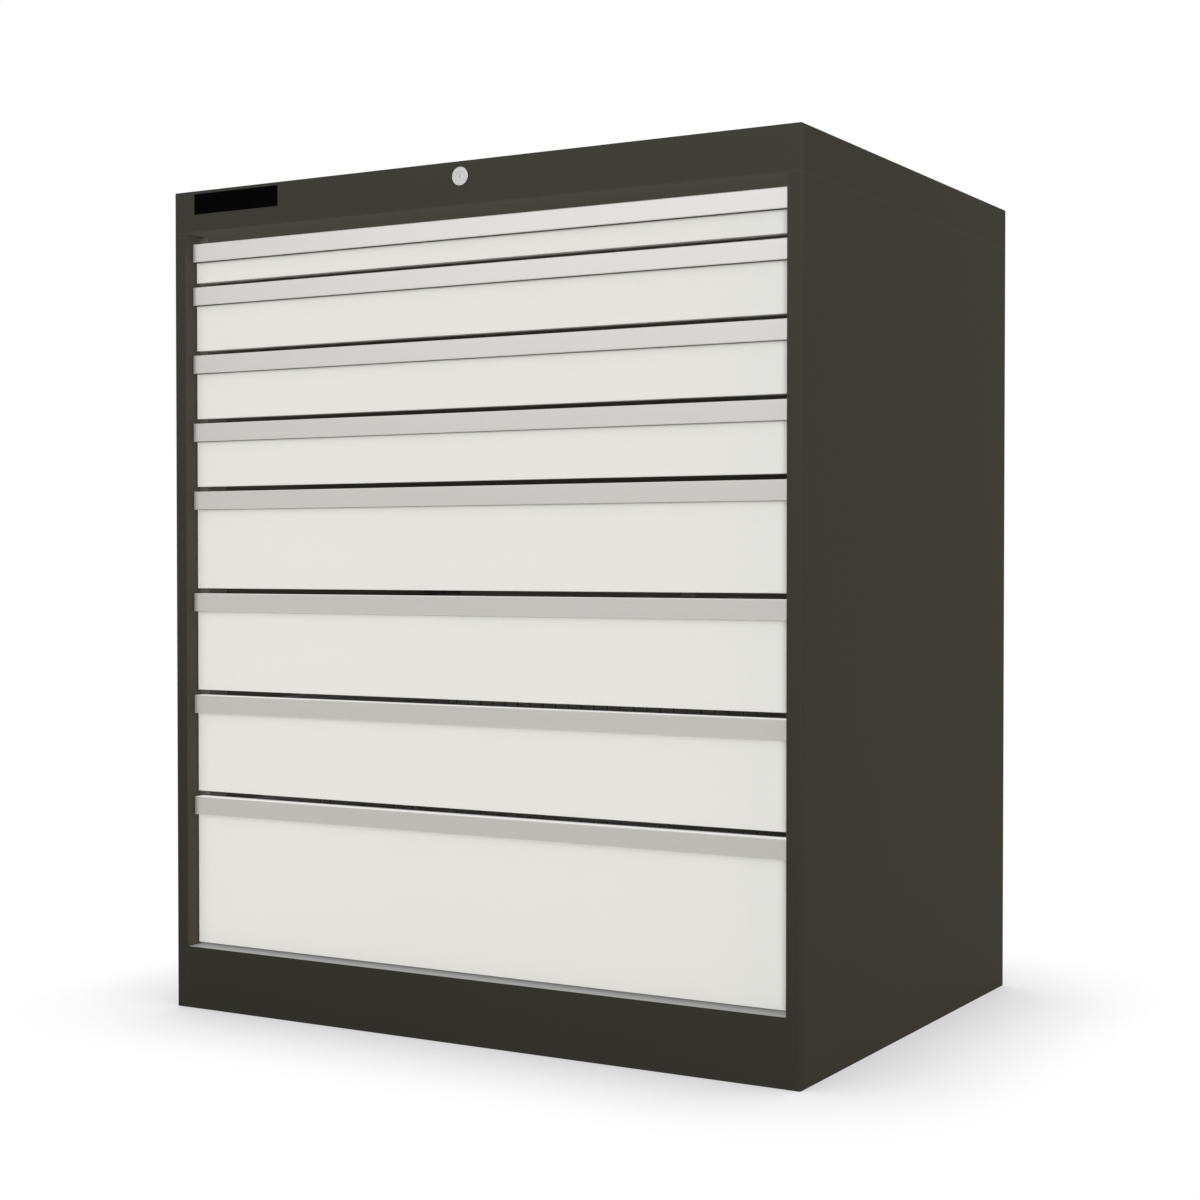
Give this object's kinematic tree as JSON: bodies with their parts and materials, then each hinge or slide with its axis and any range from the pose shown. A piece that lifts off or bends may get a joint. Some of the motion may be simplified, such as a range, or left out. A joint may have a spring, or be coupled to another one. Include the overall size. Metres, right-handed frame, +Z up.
{
  "type": "drawer cabinet",
  "caption": "Heavy-duty steel workshop drawer cabinet on a plinth, with stacked full-extension drawers of rising height, full-width pull handles and a central cylinder lock.",
  "frame": {"origin": "on the floor, under the middle of the overall box", "axes": "+Z up, +X to the right seen from the front, +Y towards the back, so the drawers open towards -Y"},
  "size_m": [1.01, 0.759, 1.2],
  "materials": {
    "housing_paint": "fine-textured powder coat, dark warm grey, satin",
    "front_paint": "powder coat, light warm grey, satin",
    "tray_paint": "powder coat, light warm grey, satin",
    "pan_paint": "powder coat, mid grey, satin",
    "handle_aluminium": "satin anodised extrusion, fine brushed along its length",
    "zinc_steel": "zinc-plated sheet steel",
    "bright_steel": "bright rolled steel bar and hardened rollers",
    "zinc_screw": "bright zinc-plated fastener",
    "lock_chrome": "satin nickel-plated die casting",
    "plate_black": "plain black moulded plate"
  },
  "bodies": {
    "housing": {"left_side_panel": "housing_paint", "right_side_panel": "housing_paint", "back_panel": "housing_paint", "top_cap": "housing_paint", "lock_rail": "housing_paint", "floor_pan": "pan_paint", "plinth_front": "housing_paint", "plinth_rear": "housing_paint", "base_bearers": "housing_paint", "uprights": "zinc_steel", "cabinet_rails": "zinc_steel", "name_plate": "plate_black", "back_screws": "zinc_screw", "cap_bolts": "zinc_screw", "lock_barrel": "lock_chrome", "lock_nut": "zinc_screw", "lock_brackets": "zinc_steel"},
    "drawer_1": {"tray_1": "tray_paint", "front_1": "front_paint", "handle_1": "handle_aluminium", "drawer_rails_1": "zinc_steel"},
    "drawer_2": {"tray_2": "tray_paint", "front_2": "front_paint", "handle_2": "handle_aluminium", "drawer_rails_2": "zinc_steel"},
    "drawer_3": {"tray_3": "tray_paint", "front_3": "front_paint", "handle_3": "handle_aluminium", "drawer_rails_3": "zinc_steel"},
    "drawer_4": {"tray_4": "tray_paint", "front_4": "front_paint", "handle_4": "handle_aluminium", "drawer_rails_4": "zinc_steel"},
    "drawer_5": {"tray_5": "tray_paint", "front_5": "front_paint", "handle_5": "handle_aluminium", "drawer_rails_5": "zinc_steel"},
    "drawer_6": {"tray_6": "tray_paint", "front_6": "front_paint", "handle_6": "handle_aluminium", "drawer_rails_6": "zinc_steel"},
    "drawer_7": {"tray_7": "tray_paint", "front_7": "front_paint", "handle_7": "handle_aluminium", "drawer_rails_7": "zinc_steel"},
    "drawer_8": {"tray_8": "tray_paint", "front_8": "front_paint", "handle_8": "handle_aluminium", "drawer_rails_8": "zinc_steel"},
    "carriage_pair_1": {"carriage_1": "bright_steel"},
    "carriage_pair_2": {"carriage_2": "bright_steel"},
    "carriage_pair_3": {"carriage_3": "bright_steel"},
    "carriage_pair_4": {"carriage_4": "bright_steel"},
    "carriage_pair_5": {"carriage_5": "bright_steel"},
    "carriage_pair_6": {"carriage_6": "bright_steel"},
    "carriage_pair_7": {"carriage_7": "bright_steel"},
    "carriage_pair_8": {"carriage_8": "bright_steel"},
    "lock_shaft": {"lock_plug": "lock_chrome", "lock_rod": "zinc_steel"},
    "lock_bar": {"lock_bar": "zinc_steel"}
  },
  "joints": [
    {"name": "drawer_1_slide", "type": "slide", "parent": "housing", "child": "drawer_1", "axis": [0, -1, 0], "range_m": [0, 0.6]},
    {"name": "drawer_2_slide", "type": "slide", "parent": "housing", "child": "drawer_2", "axis": [0, -1, 0], "range_m": [0, 0.6]},
    {"name": "drawer_3_slide", "type": "slide", "parent": "housing", "child": "drawer_3", "axis": [0, -1, 0], "range_m": [0, 0.6]},
    {"name": "drawer_4_slide", "type": "slide", "parent": "housing", "child": "drawer_4", "axis": [0, -1, 0], "range_m": [0, 0.6]},
    {"name": "drawer_5_slide", "type": "slide", "parent": "housing", "child": "drawer_5", "axis": [0, -1, 0], "range_m": [0, 0.6]},
    {"name": "drawer_6_slide", "type": "slide", "parent": "housing", "child": "drawer_6", "axis": [0, -1, 0], "range_m": [0, 0.6]},
    {"name": "drawer_7_slide", "type": "slide", "parent": "housing", "child": "drawer_7", "axis": [0, -1, 0], "range_m": [0, 0.6]},
    {"name": "drawer_8_slide", "type": "slide", "parent": "housing", "child": "drawer_8", "axis": [0, -1, 0], "range_m": [0, 0.6]},
    {"name": "carriage_1_slide", "type": "slide", "parent": "housing", "child": "carriage_pair_1", "axis": [0, -1, 0], "range_m": [0, 0.3]},
    {"name": "carriage_2_slide", "type": "slide", "parent": "housing", "child": "carriage_pair_2", "axis": [0, -1, 0], "range_m": [0, 0.3]},
    {"name": "carriage_3_slide", "type": "slide", "parent": "housing", "child": "carriage_pair_3", "axis": [0, -1, 0], "range_m": [0, 0.3]},
    {"name": "carriage_4_slide", "type": "slide", "parent": "housing", "child": "carriage_pair_4", "axis": [0, -1, 0], "range_m": [0, 0.3]},
    {"name": "carriage_5_slide", "type": "slide", "parent": "housing", "child": "carriage_pair_5", "axis": [0, -1, 0], "range_m": [0, 0.3]},
    {"name": "carriage_6_slide", "type": "slide", "parent": "housing", "child": "carriage_pair_6", "axis": [0, -1, 0], "range_m": [0, 0.3]},
    {"name": "carriage_7_slide", "type": "slide", "parent": "housing", "child": "carriage_pair_7", "axis": [0, -1, 0], "range_m": [0, 0.3]},
    {"name": "carriage_8_slide", "type": "slide", "parent": "housing", "child": "carriage_pair_8", "axis": [0, -1, 0], "range_m": [0, 0.3]},
    {"name": "lock_turn", "type": "hinge", "parent": "housing", "child": "lock_shaft", "pos_m": [0, 0, 1.179], "axis": [0, -1, 0], "range_deg": [0, 90]},
    {"name": "lock_bar_shift", "type": "slide", "parent": "housing", "child": "lock_bar", "axis": [1, 0, 0], "range_m": [0, 0.01]}
  ],
  "couplings": [
    {"joint": "carriage_1_slide", "follows": "drawer_1_slide", "ratio": 0.5},
    {"joint": "carriage_2_slide", "follows": "drawer_2_slide", "ratio": 0.5},
    {"joint": "carriage_3_slide", "follows": "drawer_3_slide", "ratio": 0.5},
    {"joint": "carriage_4_slide", "follows": "drawer_4_slide", "ratio": 0.5},
    {"joint": "carriage_5_slide", "follows": "drawer_5_slide", "ratio": 0.5},
    {"joint": "carriage_6_slide", "follows": "drawer_6_slide", "ratio": 0.5},
    {"joint": "carriage_7_slide", "follows": "drawer_7_slide", "ratio": 0.5},
    {"joint": "carriage_8_slide", "follows": "drawer_8_slide", "ratio": 0.5},
    {"joint": "lock_turn", "follows": "lock_bar_shift", "rad_per_m": 157.08}
  ]
}
